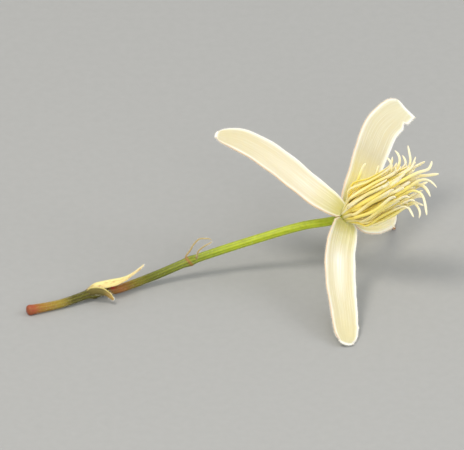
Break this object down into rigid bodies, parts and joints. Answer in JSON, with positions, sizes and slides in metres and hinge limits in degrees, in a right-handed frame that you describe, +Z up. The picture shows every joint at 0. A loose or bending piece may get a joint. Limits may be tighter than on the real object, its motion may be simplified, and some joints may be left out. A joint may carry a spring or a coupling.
{
  "type": "clematis flower",
  "caption": "Small cream clematis flower as picked: narrow sepals spread in a cross, a brush of curling stamens, and a slim bowed stalk with paired bracts.",
  "frame": {"origin": "on the surface that the flower rests on, under the middle of its outline", "axes": "+X from the stalk's foot towards the flower, +Y away from the side that the flower is looked at from, +Z up"},
  "size_m": [0.0544, 0.0354, 0.0207],
  "materials": {
    "stalk": "fine-ribbed plant skin with short down, satin",
    "bract": "dry downy scale, matt",
    "bracteole": "dry thread-like scale, matt",
    "sepal": "soft petal tissue with downy margins, matt",
    "stamen": "smooth flat filaments, satin",
    "pistil": "silky-haired styles, matt"
  },
  "bodies": {
    "root": {"flower_stalk": "stalk", "bract_upper": "bract", "bract_lower": "bract", "bracteole_long": "bracteole", "bracteole_short": "bracteole", "sepal_left": "sepal", "sepal_upper": "sepal", "sepal_lower": "sepal", "sepal_under": "sepal", "stamens": "stamen", "pistils": "pistil"}
  },
  "joints": []
}
